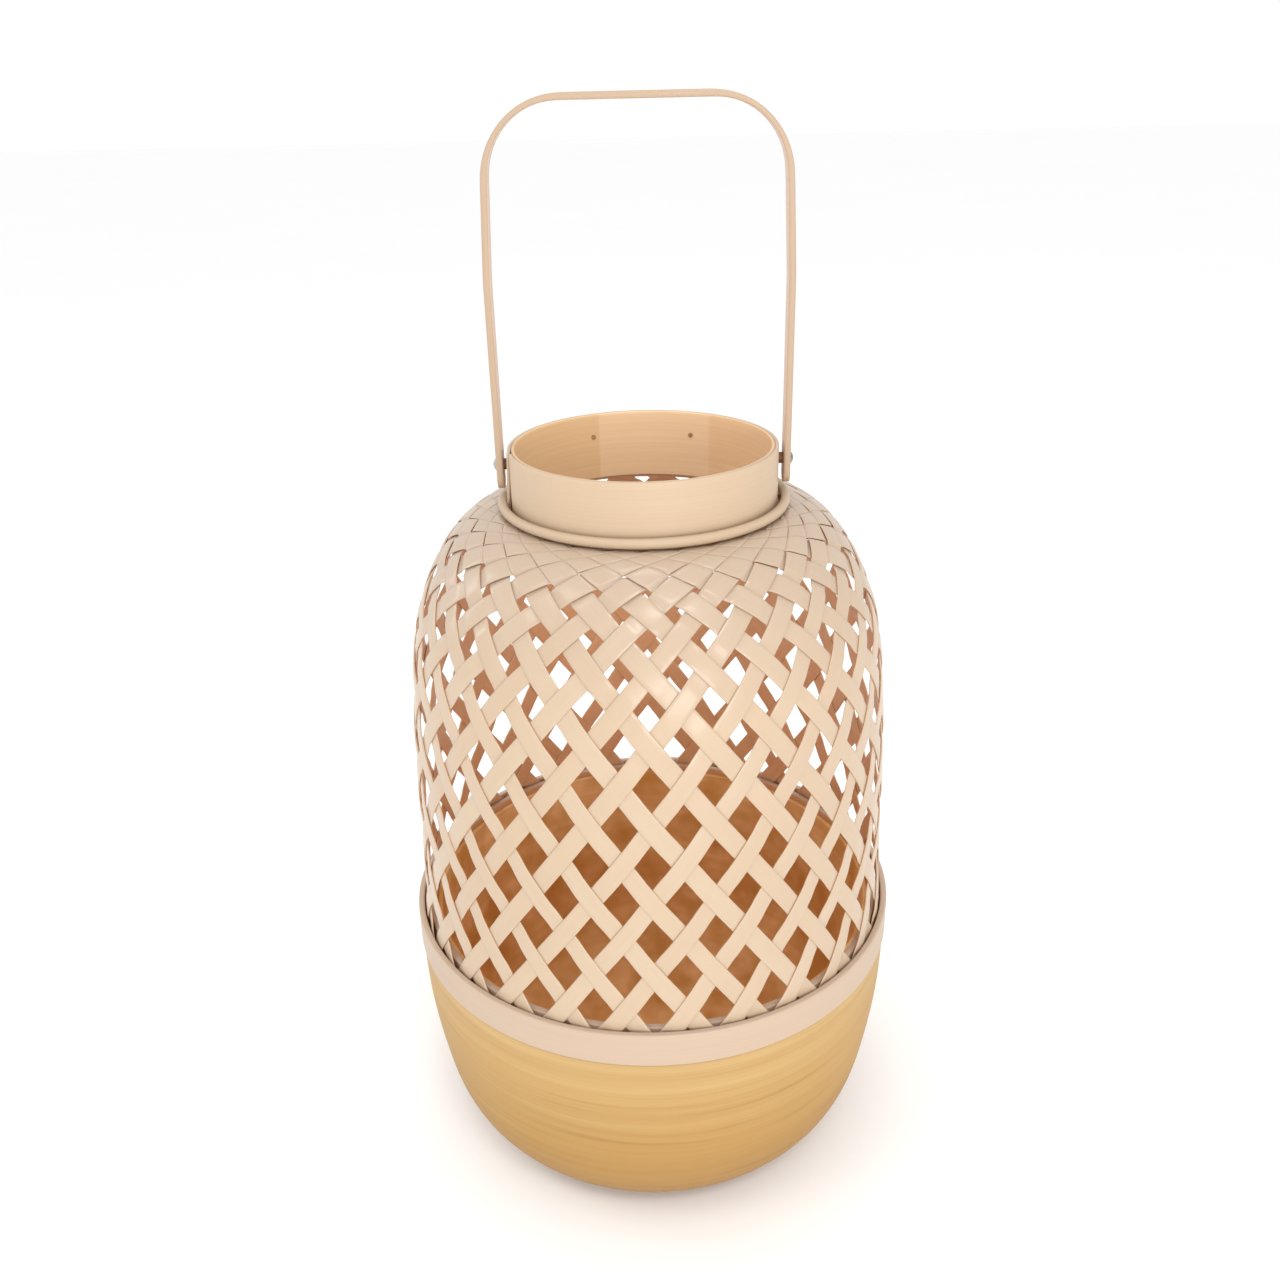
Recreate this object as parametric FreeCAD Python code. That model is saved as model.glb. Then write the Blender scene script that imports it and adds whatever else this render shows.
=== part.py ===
"""Woven bamboo candle lantern with a swinging bail handle.

Origin: centre of the flat base, +Z up, front towards -Y, handle pivots on the X axis. Millimetres.
"""
import FreeCAD, Part
import math
import os

Vec = FreeCAD.Vector
UP = Vec(0, 0, 1)

# ---- weave ----
STRIPS = 27                      # strips in each of the two slanting families
STRIPS_PER_NODE = 3
PITCH = 2 * math.pi / STRIPS     # angle between neighbouring strips of one family
STRIP_W = 8.3
STRIP_T = 0.8
WAVE = 0.55                      # how far a strip's middle moves in and out at a crossing
CLAIRAUT = 63.5                  # radius times sine of the slant, steady along a strip
SLANT_CAP = 0.89                 # largest sine of the slant, near the neck
COVER_CAP = 0.66                 # largest share of the pitch that a strip fills, near the neck
FIRST_ROW_Z = 133.0              # height of crossing row zero
FIRST_ROW_TURN = math.radians(6.5)
WEAVE_FOOT_Z = 109.7
WEAVE_END_R = 58.5
# middle surface of the weave: radius, height
WEAVE_PROFILE = [
    (111.6, 98.0), (111.6, 112.0), (111.4, 127.0), (110.3, 145.0), (109.75, 165.0),
    (108.9, 204.5), (106.4, 243.8), (101.8, 273.4), (93.2, 295.1), (82.0, 310.7),
    (71.5, 317.9), (64.5, 319.8), (59.0, 319.85), (53.0, 319.85),
]

# ---- bowl ----
BASE_R = 66.0
BOWL_SIDE = [(66.0, 0.0), (80.0, 2.2), (90.6, 7.6), (102.6, 22.5), (110.3, 50.0),
             (114.2, 80.0), (115.2, 108.6)]
BOWL_INSIDE = [(104.6, 110.0), (105.2, 84.0), (103.0, 50.0), (95.5, 25.5), (82.0, 12.0),
               (66.0, 7.0)]
RIM_STEP_Z = 108.6
RIM_TOP_Z = 121.6
RIM_IN_R = 104.6
RIM_OUT_R = 107.0
FLOOR_Z = 7.0
BELLY_Z = 22.0                   # height where the belly ring stands on the foot ring
WALL_Z = 42.0                    # height where the wall stands on the belly ring

# ---- hoops ----
INNER_HOOP = (107.1, 110.2, 108.7, 124.5)    # inside radius, outside radius, foot, top
OUTER_HOOP = (112.9, 115.9, 108.9, 125.2)
NECK_HOOP = (57.9, 62.0, 314.1, 318.65)
RING_R = 61.2
RING_Z = 323.2
RING_CANE_R = 2.1

# ---- collar ----
COLLAR_TOP = 346.6
INNER_COLLAR = (54.9, 56.3, 316.0)           # inside radius, outside radius, foot
OUTER_COLLAR = (56.35, 57.8, 319.0)
BUTT_TURN = -78.0                            # degrees from the front, where the outer layer's ends meet
BUTT_TOP = 0.5
BUTT_FOOT = 4.0

# ---- handle and pivots ----
PIVOT_Z = 338.8
PIN_R = 1.5
PIN_HOLE_R = 1.57
HANDLE_IN_X = 60.0
HANDLE_T = 2.8
HANDLE_W = 10.0
HANDLE_TOP = 484.0
HANDLE_END_Z = 328.2
HANDLE_CORNER_R = 34.0
BEND_THIN = 1.5                              # thicknesses that a corner radius loses inside, so bends thin
SHOULDER_Z = 415.0
SHOULDER_LEAN = 1.6
SPACER_R = 2.4
HEAD_R = 3.0
HEAD_T = 1.6
CLINCH_R = 2.4
CLINCH_T = 0.8
SIDE_GAP = 0.05

# ---- tacks through the two collar layers ----
TACK_Z = 336.0
TACK_TURN = 24.4                             # degrees each side of the back
TACK_R = 0.6
TACK_HEAD_R = 1.1
TACK_HEAD_T = 0.4


def spline(points):
    curve = Part.BSplineCurve()
    curve.interpolate(Points=points)
    return curve


def revolve(edges):
    face = Part.Face(Part.Wire(edges))
    return face.revolve(Vec(0, 0, 0), UP, 360)


def tube(inner, outer, foot, top, edge_r=0.0):
    """A plain hoop, its four edges rounded when edge_r is given."""
    body = Part.makeCylinder(outer, top - foot, Vec(0, 0, foot))
    body = body.cut(Part.makeCylinder(inner, top - foot + 2, Vec(0, 0, foot - 1)))
    if edge_r > 0:
        body = body.makeFillet(edge_r, [e for e in body.Edges if len(e.Vertexes) == 1 and e.Closed])
    return body


def along_x(radius, start, end, z=PIVOT_Z):
    """A round bar on the pivot axis between two x values."""
    low = min(start, end)
    return Part.makeCylinder(radius, abs(end - start), Vec(low, 0, z), Vec(1, 0, 0))


class Weave:
    """The middle surface of the weave, walked by the winding angle of its strips."""

    def __init__(self):
        curve = spline([Vec(r, 0, z) for r, z in WEAVE_PROFILE])
        self.table = []
        winding = 0.0
        steps = 1200
        first, last = curve.FirstParameter, curve.LastParameter
        before = None
        for k in range(steps + 1):
            t = first + (last - first) * k / steps
            point = curve.value(t)
            along = curve.tangent(t)[0]
            sine = min(CLAIRAUT / point.x, SLANT_CAP)
            rate = sine / math.sqrt(1 - sine * sine) / point.x
            if before is not None:
                winding += 0.5 * (rate + before[1]) * (point - before[0]).Length
            before = (point, rate)
            self.table.append((winding, point.x, point.z, along.z, -along.x, sine))
        start = self.winding_at(FIRST_ROW_Z)
        self.table = [(row[0] - start,) + row[1:] for row in self.table]

    def winding_at(self, z):
        for low, high in zip(self.table, self.table[1:]):
            if low[2] <= z < high[2]:
                share = (z - low[2]) / (high[2] - low[2])
                return low[0] + share * (high[0] - low[0])
        raise ValueError("height outside the weave")

    def at(self, winding):
        """Radius, height, outward normal (r, z) and slant sine at a winding angle."""
        low, high = 0, len(self.table) - 1
        while high - low > 1:
            mid = (low + high) // 2
            if self.table[mid][0] <= winding:
                low = mid
            else:
                high = mid
        a, b = self.table[low], self.table[high]
        share = min(max((winding - a[0]) / (b[0] - a[0]), 0.0), 1.0)
        return [p + share * (q - p) for p, q in zip(a[1:], b[1:])]

    def point(self, turn, winding, offset):
        r, z, normal_r, normal_z, sine = self.at(winding)
        r += offset * normal_r
        return Vec(r * math.sin(turn), -r * math.cos(turn), z + offset * normal_z)

    def half_cover(self, winding):
        """Half of the strip's width as a share of the pitch."""
        r, z, normal_r, normal_z, sine = self.at(winding)
        share = STRIP_W / (r * PITCH * math.sqrt(1 - sine * sine))
        return 0.5 * min(share, COVER_CAP)


def strip(weave, hand):
    """One strip through row zero's crossing. hand is 1 for a right-hand slant, -1 for a left-hand one.

    Row numbers run along the strip. It is outside on the even rows when it slants right and on the
    odd rows when it slants left. Its cross lines follow the strips that it crosses.
    """
    first = int(math.floor(2 * weave.table[0][0] / PITCH)) + 1
    last = int(math.ceil(2 * weave.table[-1][0] / PITCH)) - 1
    rows = []
    for n in range(first, last + 1):
        side = hand * (1 if n % 2 == 0 else -1)
        flat = weave.half_cover(n * PITCH / 2) + 0.05
        rows += [(n - flat, side), (n, side), (n + flat, side), (n + 0.5, 0)]
    rows.pop()
    values = [row for row, side in rows]
    edges = {}
    for across in (-1, 1):
        for depth in (-1, 1):
            points = []
            for row, side in rows:
                half = weave.half_cover(row * PITCH / 2) * across
                turn = hand * PITCH * (half + row) / 2 + FIRST_ROW_TURN
                points.append(weave.point(turn, PITCH * (row - half) / 2, side * WAVE + depth * STRIP_T / 2))
            curve = Part.BSplineCurve()
            curve.interpolate(Points=points, Parameters=values)
            edges[across, depth] = curve.toShape()
    order = [(-1, -1), (1, -1), (1, 1), (-1, 1)]
    faces = []
    for here, there in zip(order, order[1:] + order[:1]):
        faces.append(Part.makeRuledSurface(edges[here], edges[there]))
    for end in (0, -1):
        corners = [edges[key].Curve.value(values[end]) for key in order]
        low = Part.makeLine(corners[0], corners[1])
        high = Part.makeLine(corners[3], corners[2])
        faces.append(Part.makeRuledSurface(low, high))
    shell = Part.makeShell(faces)
    shell.sewShape()
    body = Part.makeSolid(shell)
    if body.Volume < 0:
        body.reverse()
    body = body.cut(Part.makeCylinder(200, 40, Vec(0, 0, WEAVE_FOOT_Z - 40)))
    body = body.cut(Part.makeCylinder(WEAVE_END_R, 40, Vec(0, 0, 300)))
    return max(body.Solids, key=lambda s: s.Volume)


def strips(master, start):
    """STRIPS_PER_NODE neighbouring copies of a strip, from copy number start."""
    copies = []
    for k in range(start, start + STRIPS_PER_NODE):
        copy = master.copy()
        copy.rotate(Vec(0, 0, 0), UP, k * 360.0 / STRIPS)
        copies.append(copy)
    return Part.makeCompound(copies)


def whole_bowl():
    """Coiled bamboo bowl, with a step at the rim for the hoops and a tongue inside them."""
    outside = spline([Vec(r, 0, z) for r, z in BOWL_SIDE])
    inside = spline([Vec(r, 0, z) for r, z in BOWL_INSIDE])
    corners = [Vec(BOWL_SIDE[-1][0], 0, RIM_STEP_Z), Vec(RIM_OUT_R, 0, RIM_STEP_Z),
               Vec(RIM_OUT_R, 0, RIM_TOP_Z), Vec(RIM_IN_R, 0, RIM_TOP_Z), Vec(RIM_IN_R, 0, BOWL_INSIDE[0][1])]
    edges = [outside.toShape()]
    for here, there in zip(corners, corners[1:]):
        edges.append(Part.makeLine(here, there))
    edges.append(inside.toShape())
    edges.append(Part.makeLine(Vec(BOWL_INSIDE[-1][0], 0, FLOOR_Z), Vec(0, 0, FLOOR_Z)))
    edges.append(Part.makeLine(Vec(0, 0, FLOOR_Z), Vec(0, 0, 0)))
    edges.append(Part.makeLine(Vec(0, 0, 0), Vec(BASE_R, 0, 0)))
    return revolve(edges)


def bowl_rings():
    """The bowl as its maker glues it: a flat disc inside a foot ring, then a belly ring and the wall."""
    disc = Part.makeCylinder(BASE_R, FLOOR_Z)
    rings = whole_bowl().cut(disc)
    nodes = {"bowl_disc": disc}
    reach = 2 * BOWL_SIDE[-1][0]
    meets = [0, BELLY_Z, WALL_Z, RIM_TOP_Z]
    for name, low, high in zip(("bowl_foot", "bowl_belly", "bowl_wall"), meets, meets[1:]):
        nodes[name] = rings.common(Part.makeCylinder(reach, high - low, Vec(0, 0, low)))
    return nodes


def collar_holes(body):
    """Bore a collar layer for the two pivot pins and the two tacks."""
    body = body.cut(along_x(PIN_R + 0.01, -70, 70))
    for side in (-1, 1):
        body = body.cut(radial_bar(TACK_R + 0.01, 50, 60, 180 + side * TACK_TURN, TACK_Z))
    return body


def radial_bar(radius, start, end, turn, z):
    angle = math.radians(turn)
    out = Vec(math.sin(angle), -math.cos(angle), 0)
    return Part.makeCylinder(radius, end - start, out * start + Vec(0, 0, z), out)


def inner_collar():
    return collar_holes(tube(INNER_COLLAR[0], INNER_COLLAR[1], INNER_COLLAR[2], COLLAR_TOP, 0.4))


def outer_collar():
    """Bent strip whose tapered ends meet in a narrow V at one side."""
    body = tube(OUTER_COLLAR[0], OUTER_COLLAR[1], OUTER_COLLAR[2], COLLAR_TOP, 0.4)
    corners = [Vec(40, -BUTT_FOOT / 2, OUTER_COLLAR[2] - 1), Vec(40, BUTT_FOOT / 2, OUTER_COLLAR[2] - 1),
               Vec(40, BUTT_TOP / 2, COLLAR_TOP + 1), Vec(40, -BUTT_TOP / 2, COLLAR_TOP + 1)]
    wedge = Part.Face(Part.makePolygon(corners + corners[:1])).extrude(Vec(30, 0, 0))
    wedge.rotate(Vec(0, 0, 0), UP, BUTT_TURN - 90)
    return collar_holes(body.cut(wedge))


def neck_ring():
    return Part.makeTorus(RING_R, RING_CANE_R, Vec(0, 0, RING_Z))


def handle_outline(inset):
    """Closed outline of the bail, drawn in the XZ plane and moved in by inset."""
    leg = HANDLE_IN_X + HANDLE_T - inset
    lean = leg - SHOULDER_LEAN
    top = HANDLE_TOP - inset
    radius = HANDLE_CORNER_R - BEND_THIN * inset
    foot = HANDLE_END_Z - 10
    bend = radius * (1 - math.sqrt(0.5))

    def half(side):
        rise = [Vec(side * leg, 0, foot), Vec(side * leg, 0, SHOULDER_Z), Vec(side * lean, 0, top - radius)]
        corner = [rise[-1], Vec(side * (lean - bend), 0, top - bend), Vec(side * (lean - radius), 0, top)]
        return rise, corner

    rise, corner = half(1)
    fall, turn = half(-1)
    edges = [Part.makeLine(rise[0], rise[1]), Part.makeLine(rise[1], rise[2]), Part.Arc(*corner).toShape(),
             Part.makeLine(corner[2], turn[2]), Part.Arc(turn[2], turn[1], turn[0]).toShape(),
             Part.makeLine(fall[2], fall[1]), Part.makeLine(fall[1], fall[0]),
             Part.makeLine(fall[0], rise[0])]
    return Part.Face(Part.Wire(edges))


def handle():
    """Flat bent strip with rounded lower ends and a bore in each leg for its pin."""
    half_w = HANDLE_W / 2
    body = handle_outline(0).extrude(Vec(0, HANDLE_W, 0))
    body = body.cut(handle_outline(HANDLE_T).extrude(Vec(0, HANDLE_W, 0)))
    body.translate(Vec(0, -half_w, 0))
    end = HANDLE_END_Z + half_w
    keep = Part.makeBox(140, HANDLE_W, HANDLE_TOP, Vec(-70, -half_w, end))
    keep = keep.fuse(Part.makeCylinder(half_w, 140, Vec(-70, 0, end), Vec(1, 0, 0)))
    body = body.common(keep)
    long_edges = [e for e in body.Edges if e.BoundBox.ZMin > SHOULDER_Z - 1 and e.BoundBox.YLength < 0.01]
    body = body.makeFillet(0.5, long_edges)
    return body.cut(along_x(PIN_HOLE_R, -80, 80))


def pin(side):
    """Pivot pin with a low domed head outside the handle and a clinched end inside the collar."""
    face = HANDLE_IN_X + HANDLE_T + SIDE_GAP
    inside = INNER_COLLAR[0] - 0.1
    body = along_x(PIN_R, side * (inside - CLINCH_T), side * (face + 0.2))
    body = body.fuse(along_x(CLINCH_R, side * (inside - CLINCH_T), side * inside))
    ball_r = (HEAD_R ** 2 + HEAD_T ** 2) / (2 * HEAD_T)
    dome = Part.makeSphere(ball_r, Vec(side * (face + HEAD_T - ball_r), 0, PIVOT_Z))
    dome = dome.common(along_x(HEAD_R + 1, side * face, side * (face + 3)))
    return body.fuse(dome).removeSplitter()


def spacer(side):
    """Short sleeve on the pin that keeps the handle off the collar."""
    body = along_x(SPACER_R, side * 56, side * (HANDLE_IN_X - SIDE_GAP))
    body = body.cut(Part.makeCylinder(OUTER_COLLAR[1] + 0.01, 40, Vec(0, 0, 320)))
    return body.cut(along_x(PIN_R + 0.01, side * 50, side * 70))


def tack(side):
    """Small tack driven out through both collar layers from inside."""
    turn = 180 + side * TACK_TURN
    head_face = INNER_COLLAR[0] - 0.02
    body = radial_bar(TACK_R, head_face - 0.1, OUTER_COLLAR[1] - 0.1, turn, TACK_Z)
    return body.fuse(radial_bar(TACK_HEAD_R, head_face - TACK_HEAD_T, head_face, turn, TACK_Z))


def build():
    weave = Weave()
    nodes = bowl_rings()
    nodes.update({
        "inner_hoop": tube(*INNER_HOOP, edge_r=0.6),
        "outer_hoop": tube(*OUTER_HOOP, edge_r=0.8),
        "neck_hoop": tube(*NECK_HOOP),
        "neck_ring": neck_ring(),
        "inner_collar": inner_collar(),
        "outer_collar": outer_collar(),
        "handle": handle(),
    })
    for side, name in ((-1, "left"), (1, "right")):
        nodes[name + "_pin"] = pin(side)
        nodes[name + "_spacer"] = spacer(side)
        nodes[name + "_tack"] = tack(side)
    for hand, name in ((1, "right"), (-1, "left")):
        master = strip(weave, hand)
        for k in range(STRIPS // STRIPS_PER_NODE):
            nodes["%s_strips_%d" % (name, k + 1)] = strips(master, k * STRIPS_PER_NODE)
    return nodes


os.makedirs("parts", exist_ok=True)
for name, shape in build().items():
    if not shape.isValid():
        print("invalid", name)
    shape.exportStep("parts/%s.step" % name)
    print(name, len(shape.Solids), round(shape.Volume), shape.BoundBox)
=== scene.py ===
"""Woven bamboo lantern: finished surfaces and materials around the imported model.

Metres, +Z up, front towards -Y, origin at the middle of the base. The handle turns on the X axis.
Outlines, boxes and the bowl's rim and floor are in millimetres, as (radius, height), and become metres
where they are used.
"""

import math

import bpy
import numpy as np
from mathutils import Matrix, Vector


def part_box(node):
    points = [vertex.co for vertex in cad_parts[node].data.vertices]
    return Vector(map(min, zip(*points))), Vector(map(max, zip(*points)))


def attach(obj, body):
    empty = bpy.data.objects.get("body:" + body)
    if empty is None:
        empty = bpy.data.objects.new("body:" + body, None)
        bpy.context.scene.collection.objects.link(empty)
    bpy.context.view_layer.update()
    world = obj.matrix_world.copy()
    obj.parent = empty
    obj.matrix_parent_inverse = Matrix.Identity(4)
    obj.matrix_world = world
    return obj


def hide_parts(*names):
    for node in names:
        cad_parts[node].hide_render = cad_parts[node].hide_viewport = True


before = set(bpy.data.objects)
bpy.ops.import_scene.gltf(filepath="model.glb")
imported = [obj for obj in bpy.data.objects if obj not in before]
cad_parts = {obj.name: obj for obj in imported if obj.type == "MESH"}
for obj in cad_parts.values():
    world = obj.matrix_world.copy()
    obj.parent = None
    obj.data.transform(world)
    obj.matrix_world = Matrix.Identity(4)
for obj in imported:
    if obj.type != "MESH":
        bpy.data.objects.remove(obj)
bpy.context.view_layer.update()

MM = 0.001
FULL_TURN = 2 * math.pi

# ---- weave ----
STRIPS = 27
STRIPS_PER_NODE = 3
PITCH = FULL_TURN / STRIPS
STRIP_W = 8.3 * MM
STRIP_T = 0.66 * MM
WAVE = 0.37 * MM
STEPS_PER_ROW = 14
FIRST_ROW_Z = 133.0 * MM
FIRST_ROW_TURN = math.radians(6.5)
FOOT_ROW = -0.95
END_ROW = 16.8
WEAVE_PROFILE = [
    (112.0, 98.0), (112.0, 112.0), (111.7, 127.0), (110.4, 145.0), (109.75, 165.0),
    (108.9, 204.5), (106.4, 243.8), (101.8, 273.4), (93.2, 295.1), (82.0, 310.7),
    (71.5, 317.9), (64.5, 319.8), (59.0, 319.85), (53.0, 319.85),
]
# the profile climbs all the way where it is wider than this
CLIMB_R = 75.0 * MM
# radius times the sine of a strip's slant, and the largest sine
CLAIRAUT = 63.5 * MM
SLANT_CAP = 0.89
# the strips spread by this share from the low to the high height, and never fill more than the cap
NECK_SPREAD = 0.18
CROWD_LOW = 300.0 * MM
CROWD_HIGH = 314.0 * MM
COVER_CAP = 0.995
# share of the full wave and of the full thickness by row: strips are pressed thin at the neck
NECK_ROWS = [9, 12, 13.2, 14.5, 17]
NECK_WAVE = [1.0, 1.5, 1.7, 0.6, 0.45]
NECK_THICK = [1.0, 1.0, 1.0, 0.6, 0.45]
# how gently a strip steps between the faces, by the half of its pitch that it fills
EASE_COVER = [0.2, 0.33, 0.45]
EASE_STEP = [0.42, 0.25, 0.12]
# a strip's unevenness: sideways in pitches, then shares of its width and thickness, and in and out
WANDER = 0.014
WIDTH_WAVE = 0.02
WIDTH_SPREAD = 0.022
THICK_SPREAD = 0.04
SAG = 0.06 * MM
CALM_ROWS = 6

# ---- bowl ----
BOWL_SIDE = [
    (66.0, 0.0), (80.0, 2.2), (90.6, 7.6), (102.6, 22.5), (110.3, 50.0), (114.2, 80.0), (115.2, 108.6),
]
BOWL_INSIDE = [(104.6, 110.0), (105.2, 84.0), (103.0, 50.0), (95.5, 25.5), (82.0, 12.0), (66.0, 7.0)]
# the rim is a shelf with a tongue inside it, and its edges are eased
SHELF_Z = 108.6
TONGUE_IN = 104.6
TONGUE_OUT = 107.0
TONGUE_TOP = 121.6
RIM_EASE = 0.5
# the flat floor starts at the first radius, and floor and base end in a small cap of the second
FLOOR_R = 64.0
POLE_R = 1.0
COIL_PITCH = 2.6 * MM
COIL_WANDER = 7.0 * MM
COIL_DEPTH = 0.03 * MM
BOWL_UNEVEN = 0.03 * MM
# points at the wall's foot and top that stay even
SMOOTH_ENDS = 6

# ---- hoops and collar ----
# boxes are (inner radius, outer radius, foot, top), and the inside's colour goes lined deep into the edges
STRIP_HOOP = (112.9, 115.9, 108.9, 125.2)
LINING_HOOP = (107.1, 110.2, 108.7, 124.5)
HOOP_LINED = 0.2
HOOP_TOP_WANDER = 0.12 * MM
COLLAR_TOP = 346.6
COLLAR_LINING = (54.9, 56.3, 316.0, COLLAR_TOP)
COLLAR_BAND = (56.35, 57.8, 319.0, COLLAR_TOP)
COLLAR_EDGE = 0.45
COLLAR_LINED = 0.72
COLLAR_UNEVEN = 0.04 * MM
# the band's butt joint: its place, its width at the top and the foot, and the end that springs out
BUTT_TURN = math.radians(-78.0)
BUTT_TOP = 0.5 * MM
BUTT_FOOT = 4.0 * MM
SPRUNG_OUT = 1.9 * MM
SPRUNG_ARC = math.radians(9.0)
SPRUNG_LESS_AT_TOP = 0.6
SPRUNG_CURVE = 1.7
# share of the way round from which the band's steps are finer
FINE_FROM = 0.96

# ---- handle ----
HANDLE_IN_X = 60.0 * MM
HANDLE_T = 2.8 * MM
HANDLE_W = 10.0 * MM
HANDLE_CORNER_R = 32.0 * MM
# how much smaller the bend's radius gets per length inwards: more than 1 thins the strip there
BEND_THIN = 1.5
SHOULDER_Z = 415.0 * MM
SHOULDER_LEAN = 1.6 * MM
END_STEPS = 12
SMOOTHING_PASSES = 6

# ---- painted shade and sheen, and tones that change with height or across, in metres ----
# heights over which the strips darken towards the neck: painted shade on the upward-facing shoulder
NECK_PAINTED_SHADE = (0.265, 0.318)
# heights of the bowl's painted shade, darkest below the first, and of its painted sheen above the second
BOWL_SHADE_TO_SHEEN = (0.055, 0.105)
INSIDE_TONE_STEPS = (-0.020, 0.031)
TONE_STEP_HALF = 0.0006

# ---- studio ----
CAMERA_PLACE = (-0.0032, -0.5077, 0.4872)
CAMERA_DOWN = 24.625
CAMERA_ROLL = -1.34
CAMERA_LENS = 34.24
SURROUND_STRENGTH = 1.03
FLOOR_HALF = 12.0
LIGHTS_AIM = Vector((0, 0, 0.2))
# name, place, width and height, power, colour
LIGHTS = [
    ("front", (0.5, -2.1, 0.5), (1.1, 0.7), 15.5, (1.0, 0.985, 0.97)),
    ("ceiling", (0.26, -1.0, 1.45), (0.55, 0.3), 5, (1.0, 0.99, 0.98)),
    ("window", (-1.6, 0.47, 0.8), (0.22, 0.9), 3, (0.90, 0.95, 1.0)),
    ("left_high", (-0.95, -0.6, 1.6), (0.5, 0.5), 2.8, (1.0, 0.97, 0.93)),
    ("over_neck", (0.0, 0.15, 1.5), (0.3, 0.3), 1.5, (1.0, 0.96, 0.9)),
]

# steps round the axis
LOW_STEPS = 300
NECK_STEPS = 320

random = np.random.default_rng(27)


# ---------------------------------------------------------------- shapes

def smooth_line(points, count):
    """Points along a natural cubic spline through the given points, with chord length as its parameter.

    Each span is the cubic whose end bends (second derivatives) solve the tridiagonal system that
    makes slopes agree from one span to the next.
    """
    points = np.array(points, float)
    chord = np.r_[0, np.cumsum(np.linalg.norm(np.diff(points, axis=0), axis=1))]
    step = np.diff(chord)
    last = len(points) - 1
    system = np.eye(last + 1)
    inner = np.arange(1, last)
    system[inner, inner - 1] = step[:-1]
    system[inner, inner] = 2 * (step[:-1] + step[1:])
    system[inner, inner + 1] = step[1:]
    slope = np.diff(points, axis=0) / step[:, None]
    turn = np.zeros_like(points)
    turn[1:-1] = 6 * np.diff(slope, axis=0)
    bend = np.linalg.solve(system, turn)
    t = np.linspace(0, chord[-1], count)
    k = np.clip(np.searchsorted(chord, t, side="right") - 1, 0, last - 1)
    span = step[k][:, None]
    ahead = (chord[k + 1] - t)[:, None]
    behind = (t - chord[k])[:, None]
    cubic = (bend[k] * ahead ** 3 + bend[k + 1] * behind ** 3) / (6 * span)
    from_start = (points[k] / span - bend[k] * span / 6) * ahead
    from_end = (points[k + 1] / span - bend[k + 1] * span / 6) * behind
    return cubic + from_start + from_end


def straight(start, end, count):
    """Evenly spaced points from start up to, but not including, end."""
    t = np.arange(count)[:, None] / count
    return np.array(start, float) * (1 - t) + np.array(end, float) * t


def quarter(r, z, radius, first, steps):
    """Quarter circle round (r, z): steps + 1 points from the angle first, in degrees."""
    angle = np.radians(first + 90 * np.arange(steps + 1) / steps)
    return np.stack([r + radius * np.cos(angle), z + radius * np.sin(angle)], axis=1)


def rounded_box(low_r, high_r, low_z, high_z, corner, per_side=8):
    """Closed outline of a rectangle in (radius, height) with quarter-circle corners, from its foot."""
    arcs = [
        quarter(high_r - corner, low_z + corner, corner, -90, 4),
        quarter(high_r - corner, high_z - corner, corner, 0, 4),
        quarter(low_r + corner, high_z - corner, corner, 90, 4),
        quarter(low_r + corner, low_z + corner, corner, 180, 4),
    ]
    points = []
    for arc, after in zip(arcs, arcs[1:] + arcs[:1]):
        points += [arc[:-1], straight(arc[-1], after[0], per_side)]
    return np.concatenate(points)


def outline_length(outline):
    """Distance walked along an outline, from 0 at its first point."""
    return np.r_[0, np.cumsum(np.linalg.norm(np.diff(outline, axis=0), axis=1))]


def round_turn(count):
    """Evenly spaced angles once round, without the last, which is the first again."""
    return FULL_TURN * np.arange(count) / count


def about_axis(r, angle, z):
    """Points about the Z axis, with the angle from the front towards +X: x = r sin a, y = -r cos a."""
    r, angle, z = np.broadcast_arrays(r, angle, z)
    return np.stack([r * np.sin(angle), -r * np.cos(angle), z], axis=-1)


def turned(outline, angles, lift):
    """Sweep an outline (radius, height) round the Z axis, with its radius lifted point by point."""
    return about_axis(outline[:, :1] + lift, angles, outline[:, 1:])


def ripple(angles, along, size, waves, rng):
    """A slow unevenness: a sum of products of a whole-number wave in angle and a wave along the outline."""
    total = np.zeros((len(along), len(angles)))
    for k in range(waves):
        turns = rng.integers(1, 3 + k)
        length = rng.uniform(4, 30) * MM
        phase, start = rng.uniform(0, FULL_TURN, 2)
        wave_along = np.sin(FULL_TURN * along / length + start)
        total += np.sin(turns * angles + phase) * wave_along[:, None]
    return size * total / math.sqrt(waves)


def inward(outline, inner_r, lined):
    """-1 on the face turned to the axis and as deep into the edges as lined, and 1 elsewhere."""
    return np.where(outline[:, :1] < (inner_r + lined) * MM, -1.0, 1.0)


def fibre_map(along, across):
    """Fibre coordinates in metres for each grid point: along the strip, and across it."""
    return np.stack(np.broadcast_arrays(along, across), axis=-1)


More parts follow.
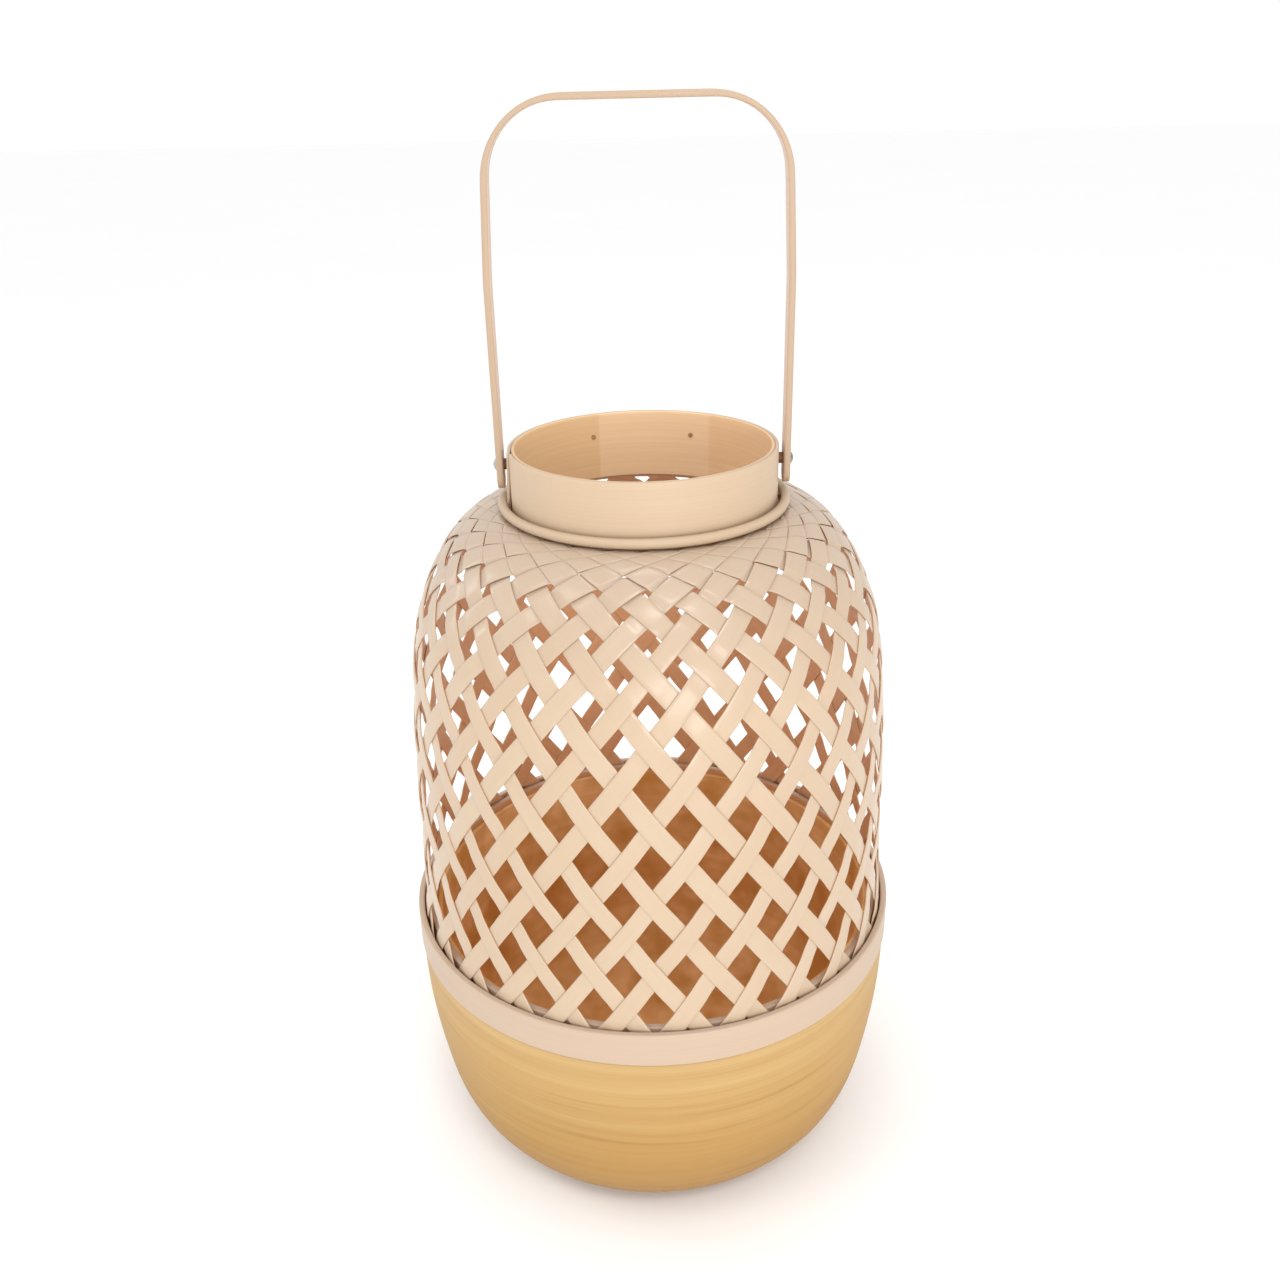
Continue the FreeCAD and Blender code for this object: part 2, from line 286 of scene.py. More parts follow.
def make_piece(name, parts, material, replaces, body="lantern"):
    """One mesh from several closed tubes.

    A part is a dict: grid (rings, around, 3), ends "caps" or "loop", and where they vary, values per
    grid point: uv, side (1 outside, -1 inside) and tone (one number for the whole part).
    Quads join each ring to the next and the last point of a ring to its first; the signed volume,
    the sum of each quad's centre dot its area vector, says whether the faces are turned over.
    """
    verts, faces, uvs, sides, tones = [], [], [], [], []
    start = 0
    for part in parts:
        grid = part["grid"]
        rings, around = grid.shape[:2]
        index = start + np.arange(rings * around).reshape(rings, around)
        if part["ends"] == "loop":
            here, there = index, np.roll(index, -1, axis=0)
        else:
            here, there = index[:-1], index[1:]
        quads = [here, np.roll(here, -1, axis=1), np.roll(there, -1, axis=1), there]
        quads = np.stack(quads, axis=-1).reshape(-1, 4)
        flat = grid.reshape(-1, 3)
        corners = flat[quads - start]
        area = np.cross(corners[:, 2] - corners[:, 0], corners[:, 3] - corners[:, 1])
        outward = np.einsum("ij,ij->", corners.mean(axis=1) - flat.mean(axis=0), area) > 0
        if not outward:
            quads = quads[:, ::-1]
        faces += quads.tolist()
        if part["ends"] == "caps":
            first, final = index[0].tolist(), index[-1].tolist()
            faces += [first[::-1], final] if outward else [first, final[::-1]]
        verts.append(flat)
        uvs.append(part.get("uv", np.zeros((rings, around, 2))).reshape(-1, 2))
        sides.append(np.broadcast_to(part.get("side", 1.0), (rings, around)).reshape(-1))
        tones.append(np.full(rings * around, part.get("tone", 0.0)))
        start += rings * around
    mesh = bpy.data.meshes.new(name)
    mesh.from_pydata(np.concatenate(verts).tolist(), [], faces)
    corner_vertex = np.zeros(len(mesh.loops), np.int32)
    mesh.loops.foreach_get("vertex_index", corner_vertex)
    layer = mesh.uv_layers.new(name="fibre")
    layer.data.foreach_set("uv", np.concatenate(uvs)[corner_vertex].astype(np.float32).ravel())
    for key, values in (("side", sides), ("tone", tones)):
        attribute = mesh.attributes.new(key, "FLOAT", "POINT")
        attribute.data.foreach_set("value", np.concatenate(values).astype(np.float32))
    mesh.polygons.foreach_set("use_smooth", np.ones(len(mesh.polygons), bool))
    mesh.materials.append(material)
    mesh.update()
    piece = bpy.data.objects.new(name, mesh)
    bpy.context.scene.collection.objects.link(piece)
    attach(piece, body)
    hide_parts(*replaces)


# ---------------------------------------------------------------- weave

class Weave:
    """Middle surface of the weave, walked by how far its strips have wound round the axis.

    A strip keeps radius times the sine of its slant steady, up to the cap on the sine, and winds at
    tan(slant) / radius per metre. cover is half of the share of its pitch that a strip fills.
    """

    def __init__(self):
        line = smooth_line(WEAVE_PROFILE, 1200) * MM
        ahead = np.gradient(line, axis=0)
        length = np.linalg.norm(ahead, axis=1)
        self.r, self.z = line[:, 0], line[:, 1]
        self.normal_r, self.normal_z = ahead[:, 1] / length, -ahead[:, 0] / length
        sine = np.minimum(CLAIRAUT / self.r, SLANT_CAP)
        cosine = np.sqrt(1 - sine ** 2)
        rate = sine / cosine / self.r
        step = np.linalg.norm(np.diff(line, axis=0), axis=1)
        self.winding = np.r_[0, np.cumsum(0.5 * (rate[1:] + rate[:-1]) * step)]
        climbing = self.r > CLIMB_R
        self.winding -= np.interp(FIRST_ROW_Z, self.z[climbing], self.winding[climbing])
        crowd = 1 + NECK_SPREAD * np.clip((self.z - CROWD_LOW) / (CROWD_HIGH - CROWD_LOW), 0, 1)
        self.cover = 0.5 * np.minimum(STRIP_W / (self.r * PITCH * cosine) * crowd, COVER_CAP)

    def read(self, values, winding):
        """One of the surface's values where the strips have wound this far."""
        return np.interp(winding, self.winding, values)

    def place(self, turn, winding, lift):
        """Points at a turn and a winding, lifted along the surface's normal."""
        r = self.read(self.r, winding) + lift * self.read(self.normal_r, winding)
        z = self.read(self.z, winding) + lift * self.read(self.normal_z, winding)
        return about_axis(r, turn, z)


# a strip's section: across from -1 to 1, and depth from -1 (inside) to 1 (outside), with eased edges
STRIP_OUTSIDE = [
    (-1.0, 0.0), (-0.985, 0.55), (-0.94, 0.9), (-0.6, 0.98),
    (0.0, 1.0), (0.6, 0.98), (0.94, 0.9), (0.985, 0.55),
]
STRIP_SECTION = np.array(STRIP_OUTSIDE + [(-across, -depth) for across, depth in STRIP_OUTSIDE])


def strip_part(weave, hand, number, rng):
    """One woven strip. hand is 1 for a right-hand slant and -1 for a left-hand one.

    Lattice coordinates: row runs along the strip, one unit per crossing, and share is the distance
    across it in strip pitches: turn = hand * pitch * (share + row) / 2, and
    winding = pitch * (row - share) / 2. The strip is lifted by wave * c * sqrt(1 + e^2) / sqrt(c^2 + e^2),
    c = cos(pi row), so it lies flat over each crossing and steps between the faces in the gap. e shrinks
    as the gaps close. Its wander, width and sag change in slow sine waves along it.
    """
    row = np.linspace(FOOT_ROW, END_ROW, int((END_ROW - FOOT_ROW) * STEPS_PER_ROW))[:, None]
    across, depth = STRIP_SECTION.T
    phase = rng.uniform(0, FULL_TURN, 4)
    wander = WANDER * (np.sin(row / 3.1 + phase[0]) + 0.5 * np.sin(row / 1.3 + phase[1]))
    width = 1 + WIDTH_WAVE * np.sin(row / 2.4 + phase[2]) + rng.normal(0, WIDTH_SPREAD)
    half = np.minimum(weave.read(weave.cover, row * PITCH / 2) * width, 0.5 * COVER_CAP)
    calm = np.clip((END_ROW - row) / CALM_ROWS, 0, 1)
    share = across * half + wander * calm
    wave = np.cos(math.pi * row)
    ease = np.interp(half, EASE_COVER, EASE_STEP)
    height = WAVE * np.interp(row, NECK_ROWS, NECK_WAVE)
    lift = hand * height * wave / np.sqrt(wave ** 2 + ease ** 2) * np.sqrt(1 + ease ** 2)
    thick = STRIP_T * (1 + rng.normal(0, THICK_SPREAD)) * np.interp(row, NECK_ROWS, NECK_THICK)
    sag = SAG * np.sin(row / 2 + phase[3]) * calm
    turn = hand * PITCH * (share + row) / 2 + FIRST_ROW_TURN + number * PITCH
    grid = weave.place(turn, PITCH * (row - share) / 2, lift + sag + depth * thick / 2)
    length = outline_length(grid.mean(axis=1))[:, None]
    uv = fibre_map(length + rng.uniform(0, 3), across * STRIP_W / 2 + rng.uniform(0, 3))
    return {"grid": grid, "ends": "caps", "uv": uv, "side": depth, "tone": rng.normal(0, 1)}


def woven_strips(material):
    """All strips, as many to a piece as to a node."""
    weave = Weave()
    for hand, name in ((1, "right"), (-1, "left")):
        for k in range(STRIPS // STRIPS_PER_NODE):
            node = "%s_strips_%d" % (name, k + 1)
            numbers = range(k * STRIPS_PER_NODE, (k + 1) * STRIPS_PER_NODE)
            parts = [strip_part(weave, hand, number, random) for number in numbers]
            make_piece(node + "_woven", parts, material, [node])


# ---------------------------------------------------------------- turned pieces

def bowl(material):
    """Turned coiled bowl: flat base, outside curve, shelf and tongue of the rim, inside curve, flat floor.

    The outside is lifted by a ripple and cut by a groove of depth (1 - |sin|)^6 between each two coils.
    Both fade out towards the base and the rim.
    """
    outside = smooth_line(BOWL_SIDE, 150)
    inside = smooth_line(BOWL_INSIDE, 60)
    shelf_r = outside[-1, 0]
    floor_z = inside[-1, 1]
    base = straight((POLE_R, 0.0), (outside[0, 0], 0.0), 14)
    # the shelf's eased edge takes the place of the outside's last points
    side = outside[:-3]
    shelf = np.concatenate([
        quarter(shelf_r - RIM_EASE, SHELF_Z - RIM_EASE, RIM_EASE, 0, 3),
        straight((shelf_r - 2 * RIM_EASE, SHELF_Z), (TONGUE_OUT, SHELF_Z), 4),
        straight((TONGUE_OUT, SHELF_Z), (TONGUE_OUT, TONGUE_TOP - RIM_EASE), 6),
    ])
    tongue = np.concatenate([
        quarter(TONGUE_OUT - RIM_EASE, TONGUE_TOP - RIM_EASE, RIM_EASE, 0, 3),
        quarter(TONGUE_IN + RIM_EASE, TONGUE_TOP - RIM_EASE, RIM_EASE, 90, 3),
        straight((TONGUE_IN, TONGUE_TOP - 2 * RIM_EASE), (TONGUE_IN, inside[0, 1]), 6),
    ])
    floor = straight((FLOOR_R, floor_z), (POLE_R, floor_z), 14)
    outline = np.concatenate([base, side, shelf, tongue, inside, floor]) * MM
    angles = round_turn(LOW_STEPS)
    along = outline_length(outline)
    first = len(base) + SMOOTH_ENDS
    last = len(base) + len(outside) - SMOOTH_ENDS
    wall = np.zeros((len(outline), 1))
    wall[first:last, 0] = np.sin(np.linspace(0, math.pi, last - first)) ** 0.3
    coils = np.abs(np.sin(math.pi * along / COIL_PITCH + 0.4 * np.sin(along / COIL_WANDER)))[:, None]
    lift = wall * (ripple(angles, along, BOWL_UNEVEN, 9, random) - COIL_DEPTH * (1 - coils) ** 6)
    # the inside's colour starts at the top of the tongue's outer face
    facing = np.ones((len(outline), 1))
    facing[len(base) + len(side) + len(shelf) - 1:] = -1
    part = {"grid": turned(outline, angles, lift), "ends": "caps", "side": facing}
    nodes = ["bowl_disc", "bowl_foot", "bowl_belly", "bowl_wall"]
    make_piece("coiled_bowl", [part], material, nodes)


def hoop(name, node, box, corner, uneven, material):
    """Bent flat hoop: a rounded box swept round and lifted by a ripple, with a top that rises and falls."""
    inner_r, _, foot, top = box
    outline = rounded_box(*box, corner) * MM
    angles = round_turn(LOW_STEPS)
    lift = ripple(angles, outline_length(outline), uneven * MM, 7, random)
    grid = turned(outline, angles, lift)
    upper = outline[:, 1:] > (foot + top) / 2 * MM
    grid[..., 2] += upper * HOOP_TOP_WANDER * (np.sin(5 * angles + 1) + 0.6 * np.sin(11 * angles + 2))
    part = {"grid": grid, "ends": "loop", "side": inward(outline, inner_r, HOOP_LINED)}
    make_piece(name, [part], material, [node])


def cane_ring(material):
    """Round cane bent into a ring: a circle swept round, its thickness changing in slow waves."""
    low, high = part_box("neck_ring")
    radius = (high.z - low.z) / 2
    middle_r = (high.x - low.x) / 2 - radius
    middle_z = (low.z + high.z) / 2
    angles = round_turn(NECK_STEPS)
    section = round_turn(22)[:, None]
    thick = radius * (1 + 0.02 * np.sin(3 * angles + 1) + 0.015 * np.sin(7 * angles))
    grid = about_axis(middle_r + thick * np.cos(section), angles, middle_z + thick * np.sin(section))
    make_piece("cane_ring", [{"grid": grid, "ends": "loop"}], material, ["neck_ring"])


def collar_lining(material):
    """Collar's inner layer: a closed band, with its own colour on the face turned to the axis."""
    outline = rounded_box(*COLLAR_LINING, COLLAR_EDGE, per_side=10) * MM
    angles = round_turn(NECK_STEPS)
    grid = turned(outline, angles, ripple(angles, outline_length(outline), COLLAR_UNEVEN, 6, random))
    part = {"grid": grid, "ends": "loop", "side": inward(outline, COLLAR_LINING[0], COLLAR_LINED)}
    make_piece("collar_lining", [part], material, ["inner_collar"])


def collar_band(material):
    """Collar's outer layer, with two ends that meet in a narrow V.

    Its angle runs from one edge of the V to the other: at each height the V's half width over the
    radius is taken off both ends. The end behind the V springs out a little, most at its foot.
    """
    outline = rounded_box(*COLLAR_BAND, COLLAR_EDGE, per_side=10) * MM
    share = np.r_[np.linspace(0, FINE_FROM, 300, endpoint=False), np.linspace(FINE_FROM, 1, 40)]
    height = (outline[:, 1:] - outline[:, 1].min()) / np.ptp(outline[:, 1])
    gap = (BUTT_FOOT + (BUTT_TOP - BUTT_FOOT) * height) / 2 / outline[:, 0].mean()
    turn = BUTT_TURN + gap + share * (FULL_TURN - 2 * gap)
    to_end = np.clip(1 - (1 - share) * FULL_TURN / SPRUNG_ARC, 0, 1)
    spring = SPRUNG_OUT * (1 - SPRUNG_LESS_AT_TOP * height) * to_end ** SPRUNG_CURVE
    lift = spring + ripple(FULL_TURN * share, outline_length(outline), COLLAR_UNEVEN, 6, random)
    grid = about_axis(outline[:, :1] + lift, turn, outline[:, 1:])
    part = {"grid": grid.transpose(1, 0, 2), "ends": "caps"}
    make_piece("collar_band", [part], material, ["outer_collar"])


# ---------------------------------------------------------------- handle

# the handle's section: across from -1 to 1, and depth from -1 (inside the loop) to 1 (outside)
BAIL_INNER = [(-1, -0.6), (-0.97, -0.85), (-0.9, -1), (0, -1), (0.9, -1), (0.97, -0.85), (1, -0.6), (1, 0)]
BAIL_SECTION = np.array(BAIL_INNER + [(-across, -depth) for across, depth in BAIL_INNER])


def bail_line(inset, foot, top_z):
    """The handle's line in (x, z): a leg, a leaning leg, an arc and the top, mirrored and then smoothed.

    inset is how far the line lies inside the outer face. The first points, where the end is round, crowd
    towards the foot as 1 - cos.
    """
    leg = HANDLE_IN_X + HANDLE_T - inset
    lean = leg - SHOULDER_LEAN
    top = top_z - inset
    radius = HANDLE_CORNER_R - BEND_THIN * inset
    end = 0.5 * HANDLE_W * (1 - np.cos(np.linspace(0, math.pi / 2, END_STEPS, endpoint=False)))
    half = np.concatenate([
        np.stack([np.full(END_STEPS, leg), foot + end], axis=1),
        straight((leg, foot + HANDLE_W / 2), (leg, SHOULDER_Z), 60),
        straight((leg, SHOULDER_Z), (lean, top - radius), 30),
        quarter(lean - radius, top - radius, radius, 0, 30)[:-1],
        straight((lean - radius, top), (0, top), 30),
    ])
    line = np.concatenate([half, [(0, top)], half[::-1] * (-1, 1)])
    # the round ends stay as they are
    kept = END_STEPS + 1
    for _ in range(SMOOTHING_PASSES):
        before, after = line[kept - 1:-kept - 1], line[kept + 1:-kept + 1]
        line[kept:-kept] = 0.25 * before + 0.5 * line[kept:-kept] + 0.25 * after
    return line


def bail(material):
    """Flat strip between the handle's inner and outer lines, walked together.

    Its half width follows a half circle at the two lower ends: w sqrt(1 - (1 - reach)^2).
    """
    low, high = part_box("handle")
    outer, inner = bail_line(0, low.z, high.z), bail_line(HANDLE_T, low.z, high.z)
    from_end = np.minimum(outer[:, 1], outer[::-1, 1]) - low.z
    reach = np.clip(from_end / (HANDLE_W / 2), 0.002, 1)
    half_width = HANDLE_W / 2 * np.sqrt(1 - (1 - reach) ** 2)
    across, depth = BAIL_SECTION.T
    mix = (1 + depth[:, None]) / 2
    flat = inner[:, None, :] * (1 - mix) + outer[:, None, :] * mix
    y = half_width[:, None] * across
    grid = np.stack([flat[..., 0], y, flat[..., 1]], axis=-1)
    # the two faces read the fibre pattern 8 mm apart
    uv = fibre_map(outline_length(outer)[:, None], y + 4 * MM * depth)
    part = {"grid": grid, "ends": "caps", "uv": uv, "side": depth}
    make_piece("bail_strip", [part], material, ["handle"], body="bail")


# ---------------------------------------------------------------- materials

class Recipe:
    def __init__(self, name, roughness, coat=0.0, metallic=0.0, specular=0.5, coat_roughness=0.25):
        self.material = bpy.data.materials.new(name)
        self.material.use_nodes = True
        self.tree = self.material.node_tree
        self.shader = self.tree.nodes["Principled BSDF"]
        self.shader.inputs["Roughness"].default_value = roughness
        self.shader.inputs["Coat Weight"].default_value = coat
        self.shader.inputs["Coat Roughness"].default_value = coat_roughness
        self.shader.inputs["Specular IOR Level"].default_value = specular
        self.shader.inputs["Metallic"].default_value = metallic

    def add(self, kind, inputs=None, **settings):
        node = self.tree.nodes.new(kind)
        for key, value in settings.items():
            setattr(node, key, value)
        for key, value in (inputs or {}).items():
            if isinstance(value, bpy.types.NodeSocket):
                self.tree.links.new(value, node.inputs[key])
            else:
                node.inputs[key].default_value = value
        return node

    def coordinates(self, scale, uv=False, offset=(0, 0, 0)):
        """Place on the object, or on its fibre map, times scale: pattern cells per metre on each axis."""
        if uv:
            source = self.add("ShaderNodeUVMap", uv_map="fibre").outputs["UV"]
        else:
            source = self.add("ShaderNodeTexCoord").outputs["Object"]
        mapping = {"Vector": source, "Scale": scale, "Location": offset}
        return self.add("ShaderNodeMapping", mapping).outputs["Vector"]

    def noise(self, vector, detail, roughness=0.55):
        settings = {"Vector": vector, "Scale": 1.0, "Detail": detail, "Roughness": roughness}
        return self.add("ShaderNodeTexNoise", settings).outputs["Fac"]

    def along(self, axis):
        place = self.add("ShaderNodeTexCoord").outputs["Object"]
        return self.add("ShaderNodeSeparateXYZ", {"Vector": place}).outputs[axis]

    def attribute(self, name):
        return self.add("ShaderNodeAttribute", attribute_name=name).outputs["Fac"]

    def fit(self, value, low, high, to_low=0.0, to_high=1.0):
        """Straight change from to_low at low to to_high at high, held beyond them."""
        limits = {"Value": value, "From Min": low, "From Max": high, "To Min": to_low, "To Max": to_high}
        return self.add("ShaderNodeMapRange", limits).outputs["Result"]

    def blend(self, share, first, second, how="MIX"):
        node = self.add("ShaderNodeMix", {"Factor": share}, data_type="RGBA", blend_type=how)
        for socket, value in ((node.inputs[6], first), (node.inputs[7], second)):
            if isinstance(value, bpy.types.NodeSocket):
                self.tree.links.new(value, socket)
            else:
                socket.default_value = (*value, 1.0)
        return node.outputs[2]

    def tint(self, colour, factors):
        return self.blend(1.0, colour, factors, "MULTIPLY")

    def finish(self, colour, height=None, strength=0.2, depth=0.1 * MM, roughness=None):
        self.tree.links.new(colour, self.shader.inputs["Base Color"])
        if roughness is not None:
            self.tree.links.new(roughness, self.shader.inputs["Roughness"])
        if height is not None:
            bump = self.add("ShaderNodeBump", {"Height": height, "Strength": strength, "Distance": depth})
            self.tree.links.new(bump.outputs["Normal"], self.shader.inputs["Normal"])
        return self.material


def split_bamboo():
    """Planed bamboo strip under satin lacquer: long fibres, a slow change of tone, a darker, warmer inner
    side that is partly its own tone and partly painted warm bounce light, and painted shade near the neck.
    """
    m = Recipe("split_bamboo", 0.5, coat=0.55, specular=0.25, coat_roughness=0.2)
    fibre = m.noise(m.coordinates((45, 2600, 1), uv=True), 4, 0.65)
    band = m.noise(m.coordinates((9, 160, 1), uv=True), 2)
    cloud = m.noise(m.coordinates((14, 14, 14)), 2)
    face = m.blend(m.fit(fibre, 0.3, 0.7), (0.51, 0.385, 0.265), (0.555, 0.43, 0.305))
    face = m.blend(m.fit(band, 0.35, 0.7, 0, 0.4), face, (0.50, 0.37, 0.25))
    face = m.blend(m.fit(cloud, 0.3, 0.75, 0, 0.35), face, (0.545, 0.42, 0.31))
    face = m.blend(m.fit(m.attribute("tone"), -1.6, 1.6, 0.0, 0.4), face, (0.505, 0.36, 0.24))
    # inner side: partly the strip's own darker tone, partly painted warm light bounced round inside the
    # lantern
    pith_and_painted_bounce = m.blend(m.fit(fibre, 0.3, 0.7), (0.66, 0.36, 0.185), (0.80, 0.48, 0.28))
    colour = m.blend(m.fit(m.attribute("side"), -0.7, 0.2), pith_and_painted_bounce, face)
    # painted shade: the strips turn darker and a little cooler towards the neck, where the shoulder faces
    # up
    neck_shade = m.fit(m.along("Z"), *NECK_PAINTED_SHADE)
    colour = m.blend(neck_shade, colour, m.tint(colour, (0.87, 0.88, 0.93)))
    return m.finish(colour, fibre, 0.18, 0.1 * MM, m.fit(fibre, 0.2, 0.8, 0.42, 0.58))


def coiled_bamboo():
    """Turned bowl of coiled bamboo: thin rings of different tone, a few dark seams, warm brown inside with
    pale blotches that are painted patches of light let in through the weave.

    The outside is painted darkest at the foot and darker below the middle as shade, and lighter above it as
    a painted sheen.
    """
    m = Recipe("coiled_bamboo", 0.55, coat=0.06, specular=0.12, coat_roughness=0.3)
    ring = m.noise(m.coordinates((3, 3, 170)), 4, 0.6)
    fine = m.noise(m.coordinates((9, 9, 1500)), 3, 0.6)
    broad = m.noise(m.coordinates((5, 5, 38), offset=(3, 1, 2)), 2)
    seam = m.noise(m.coordinates((10, 10, 260), offset=(7, 2, 5)), 1)
    cloud = m.noise(m.coordinates((48, 48, 48)), 2)
    face = m.blend(m.fit(ring, 0.32, 0.68), (0.47, 0.255, 0.075), (0.56, 0.34, 0.12))
    face = m.blend(m.fit(broad, 0.35, 0.7, 0, 0.7), face, (0.51, 0.28, 0.083))
    face = m.blend(m.fit(fine, 0.35, 0.7, 0, 0.35), face, (0.60, 0.38, 0.155))
    face = m.blend(m.fit(seam, 0.64, 0.72, 0, 0.35), face, (0.36, 0.175, 0.045))
    height = m.along("Z")
    # painted shade below the middle and a painted sheen above it, then painted shade deepening to the foot
    painted_shade, painted_sheen = m.tint(face, (0.81, 0.82, 0.78)), m.tint(face, (0.95, 1.06, 1.33))
    face = m.blend(m.fit(height, *BOWL_SHADE_TO_SHEEN), painted_shade, painted_sheen)
    face = m.blend(m.fit(height, BOWL_SHADE_TO_SHEEN[0], 0.0), face, m.tint(face, (0.74, 0.67, 0.67)))
    brown = (0.66, 0.34, 0.10)
    # the pale blotches inside are painted patches of light let in through the weave
    lining = m.blend(m.fit(cloud, 0.33, 0.7), brown, (0.95, 0.63, 0.32))
    lining = m.blend(m.fit(ring, 0.35, 0.65, 0, 0.4), lining, brown)
    colour = m.blend(m.fit(m.attribute("side"), -0.3, 0.3), lining, face)
    return m.finish(colour, m.blend(0.5, fine, ring), 0.2, 0.15 * MM, m.fit(ring, 0.2, 0.8, 0.48, 0.6))


def bent_bamboo(name, light, dark, inside, three_tone_inside=False):
    """Flat bamboo bent round the axis, with fibres that run round it.

    inside is the tone of the face turned to the axis. With three_tone_inside, that face has three tones
    side by side, which change at two places across X.
    """
    m = Recipe(name, 0.5, coat=0.15, specular=0.25)
    fibre = m.noise(m.coordinates((7, 7, 1700)), 4, 0.65)
    band = m.noise(m.coordinates((8, 8, 110)), 2)
    face = m.blend(m.fit(fibre, 0.2, 0.9), dark, light)
    face = m.blend(m.fit(band, 0.35, 0.7, 0, 0.3), face, dark)
    lining = m.blend(m.fit(fibre, 0.3, 0.72), tuple(0.88 * c for c in inside), inside)
    if three_tone_inside:
        across = m.along("X")
        tones = ((1.0, 1.0, 0.96), (1.08, 1.13, 1.2), (1.04, 1.02, 1.02))
        left, *others = [m.tint(lining, tone) for tone in tones]
        lining = left
        # the inside's tone changes at each of these places across X
        for seam, step_tone in zip(INSIDE_TONE_STEPS, others):
            lining = m.blend(m.fit(across, seam - TONE_STEP_HALF, seam + TONE_STEP_HALF), lining, step_tone)
    colour = m.blend(m.fit(m.attribute("side"), -0.5, 0.5), lining, face)
    return m.finish(colour, fibre, 0.12, 0.08 * MM)


def bail_bamboo():
    """Flat bail strip: long fibres, and painted light on the face turned to the inside of the loop, which
    is made lighter.
    """
    m = Recipe("bail_bamboo", 0.5, coat=0.15, specular=0.25)
    fibre = m.noise(m.coordinates((30, 2200, 1), uv=True), 4, 0.65)
    band = m.noise(m.coordinates((14, 240, 1), uv=True), 2)
    face = m.blend(m.fit(fibre, 0.3, 0.72), (0.43, 0.305, 0.21), (0.50, 0.37, 0.265))
    face = m.blend(m.fit(band, 0.35, 0.7, 0, 0.5), face, (0.44, 0.31, 0.205))
    # painted light: the face turned to the inside of the loop is lightened, as if lit from the sides
    colour = m.blend(m.fit(m.attribute("side"), -0.97, -0.87), m.tint(face, (1.4, 1.45, 1.6)), face)
    return m.finish(colour, fibre, 0.22, 0.12 * MM)


def dull_metal(name, light, dark, roughness):
    """Cheap plated metal: cloudy tarnish over the bare surface."""
    m = Recipe(name, roughness, metallic=0.85)
    spots = m.noise(m.coordinates((420, 420, 420)), 4)
    return m.finish(m.blend(m.fit(spots, 0.35, 0.65), dark, light), spots, 0.15, 0.05 * MM)


def dark_wood():
    """Very dark brown wood with its grain along the X axis."""
    m = Recipe("dark_spacer", 0.6)
    grain = m.noise(m.coordinates((200, 1400, 1400)), 3)
    colour = m.blend(m.fit(grain, 0.3, 0.7), (0.10, 0.035, 0.012), (0.22, 0.085, 0.03))
    return m.finish(colour, grain, 0.2, 0.1 * MM)


def set_material(node, material):
    """A finish for a node that is shown as packed."""
    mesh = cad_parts[node].data
    mesh.materials.clear()
    mesh.materials.append(material)


# ---------------------------------------------------------------- studio

def set_up_camera(scene):
    camera = bpy.data.objects.new("camera", bpy.data.cameras.new("camera"))
    camera.data.sensor_width = 36.0
    camera.data.lens = CAMERA_LENS
    camera.data.clip_start = 0.01
    tilt = Matrix.Rotation(math.radians(90 - CAMERA_DOWN), 4, "X")
    roll = Matrix.Rotation(math.radians(CAMERA_ROLL), 4, "Z")
    camera.matrix_world = Matrix.Translation(CAMERA_PLACE) @ tilt @ roll
    scene.collection.objects.link(camera)
    scene.camera = camera


def set_up_surround(scene):
    world = bpy.data.worlds.new("surround")
    world.use_nodes = True
    background = world.node_tree.nodes["Background"]
    background.inputs["Color"].default_value = (1.0, 1.0, 1.0, 1)
    background.inputs["Strength"].default_value = SURROUND_STRENGTH
    scene.world = world
    scene.view_settings.view_transform = "Standard"


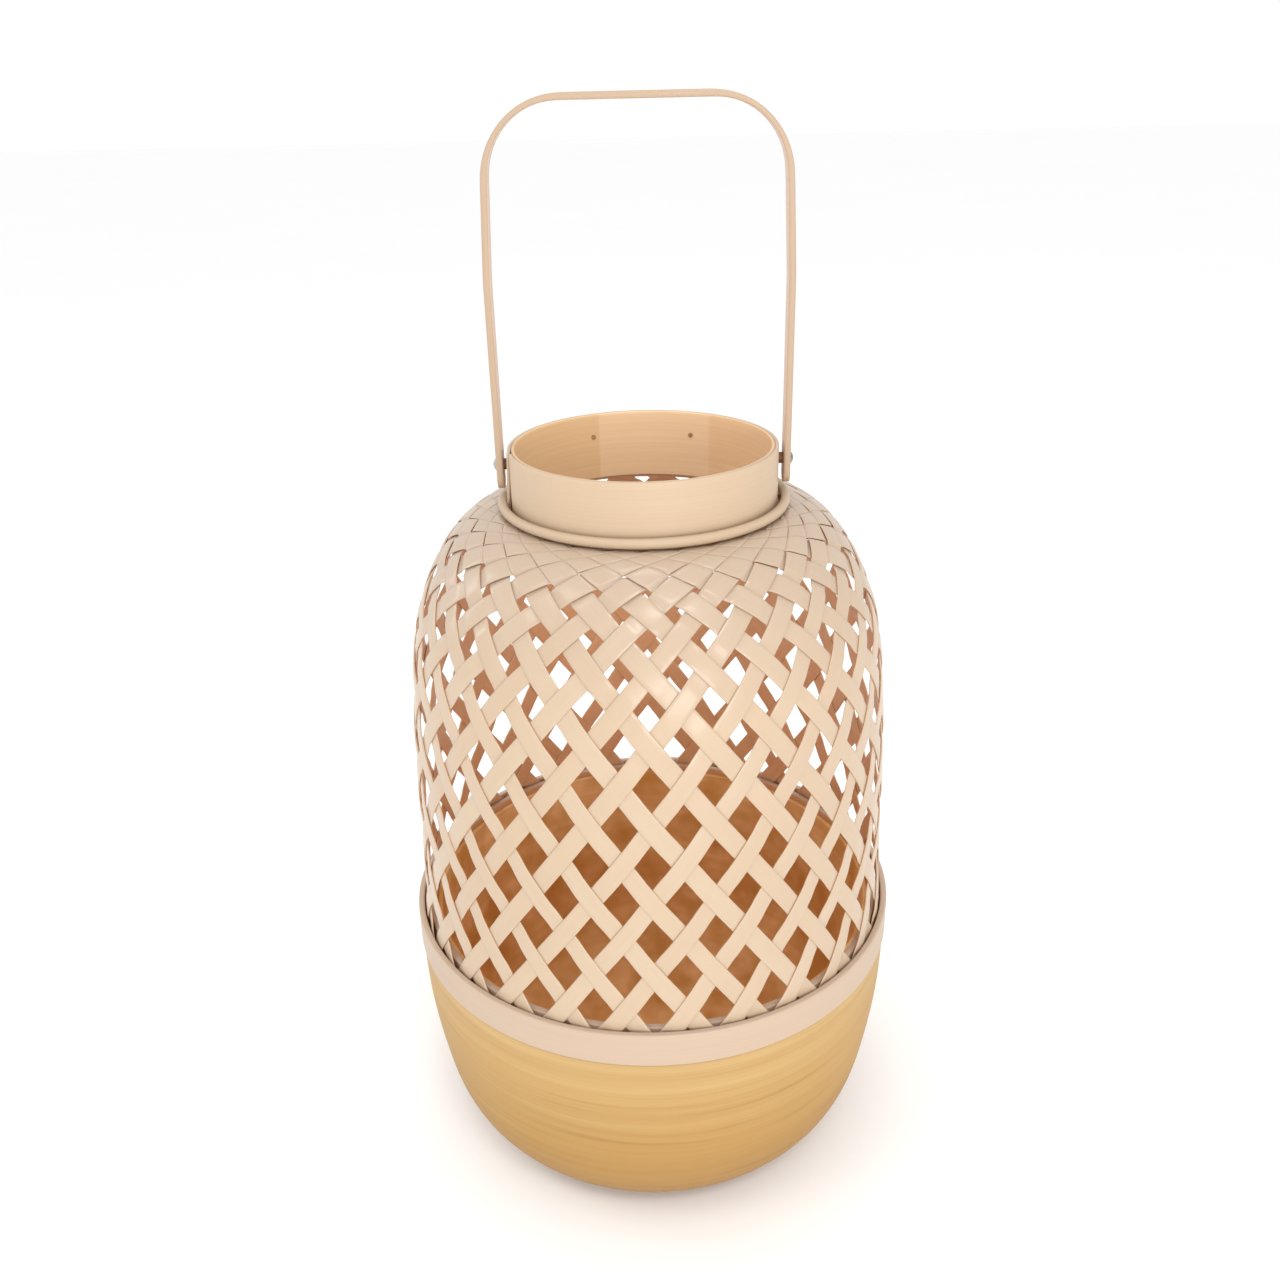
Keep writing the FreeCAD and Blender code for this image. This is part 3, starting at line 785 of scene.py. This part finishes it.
def lay_floor(scene):
    mesh = bpy.data.meshes.new("floor")
    corners = [(FLOOR_HALF * x, FLOOR_HALF * y, 0) for x, y in ((-1, -1), (1, -1), (1, 1), (-1, 1))]
    mesh.from_pydata(corners, [], [(0, 1, 2, 3)])
    floor = bpy.data.objects.new("floor", mesh)
    paint = Recipe("pale_floor", 0.9)
    cloud = paint.noise(paint.coordinates((2, 2, 2)), 2)
    mesh.materials.append(paint.finish(paint.blend(cloud, (0.94, 0.94, 0.94), (0.96, 0.96, 0.96))))
    scene.collection.objects.link(floor)


def hang_lights(scene):
    """Soft rectangular lights, each turned to the middle of the lantern."""
    for name, place, size, power, colour in LIGHTS:
        lamp = bpy.data.lights.new(name, "AREA")
        lamp.shape = "RECTANGLE"
        lamp.size, lamp.size_y = size
        lamp.energy = power
        lamp.color = colour
        holder = bpy.data.objects.new(name, lamp)
        facing = (Vector(place) - LIGHTS_AIM).to_track_quat("Z", "Y").to_matrix().to_4x4()
        holder.matrix_world = Matrix.Translation(place) @ facing
        scene.collection.objects.link(holder)


for set_up in (set_up_camera, set_up_surround, lay_floor, hang_lights):
    set_up(bpy.context.scene)

# name, light and dark fibre, inside tone
hoop_finish = bent_bamboo("hoop_bamboo", (0.545, 0.42, 0.32), (0.49, 0.365, 0.265), (0.66, 0.36, 0.18))
collar_finish = bent_bamboo(
    "collar_bamboo", (0.565, 0.435, 0.31), (0.525, 0.385, 0.255), (0.72, 0.49, 0.28), three_tone_inside=True)
cane_finish = bent_bamboo("cane", (0.52, 0.40, 0.285), (0.47, 0.345, 0.23), (0.45, 0.32, 0.20))

woven_strips(split_bamboo())
bowl(coiled_bamboo())
hoop("strip_hoop", "outer_hoop", STRIP_HOOP, corner=0.8, uneven=0.05, material=hoop_finish)
hoop("lining_hoop", "inner_hoop", LINING_HOOP, corner=0.6, uneven=0.04, material=hoop_finish)
cane_ring(cane_finish)
collar_lining(collar_finish)
collar_band(collar_finish)
bail(bail_bamboo())
set_material("neck_hoop", hoop_finish)
rivet = dull_metal("tarnished_rivet", (0.52, 0.49, 0.44), (0.24, 0.21, 0.17), roughness=0.42)
tack = dull_metal("brown_tack", (0.58, 0.40, 0.24), (0.40, 0.25, 0.13), roughness=0.5)
spacer = dark_wood()
for hand in ("left", "right"):
    set_material(hand + "_pin", rivet)
    set_material(hand + "_tack", tack)
    set_material(hand + "_spacer", spacer)
